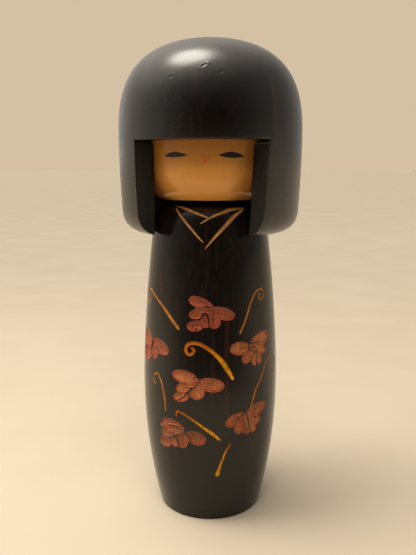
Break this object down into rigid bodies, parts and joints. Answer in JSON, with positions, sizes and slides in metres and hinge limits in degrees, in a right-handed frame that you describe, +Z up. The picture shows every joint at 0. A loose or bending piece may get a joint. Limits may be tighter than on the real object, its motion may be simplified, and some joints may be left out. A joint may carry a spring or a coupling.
{
  "type": "kokeshi doll",
  "caption": "Turned wooden doll with a belly-shaped body, a bobbed hair cap open at the front over a pale face block, and a head that turns on a dowel.",
  "frame": {"origin": "centre of the flat foot, on the surface that the doll stands on", "axes": "+Z up along the turning axis, -Y the way the face looks, +X to the doll's left-hand side"},
  "size_m": [0.0764, 0.0764, 0.2],
  "materials": {
    "lacquered_body": "gloss lacquer over dark stained wood",
    "lacquered_hair": "satin lacquer over dark stained wood",
    "pale_face": "clear satin lacquer over pale wood",
    "dowel_wood": "bare, lightly sanded"
  },
  "bodies": {
    "body": {"body": "lacquered_body", "neck_dowel": "dowel_wood"},
    "head": {"face_block": "pale_face", "hair_cap": "lacquered_hair"}
  },
  "joints": [
    {"name": "head_turn", "type": "hinge", "parent": "body", "child": "head", "pos_m": [0, 0, 0.1356], "axis": [0, 0, 1], "continuous": true}
  ]
}
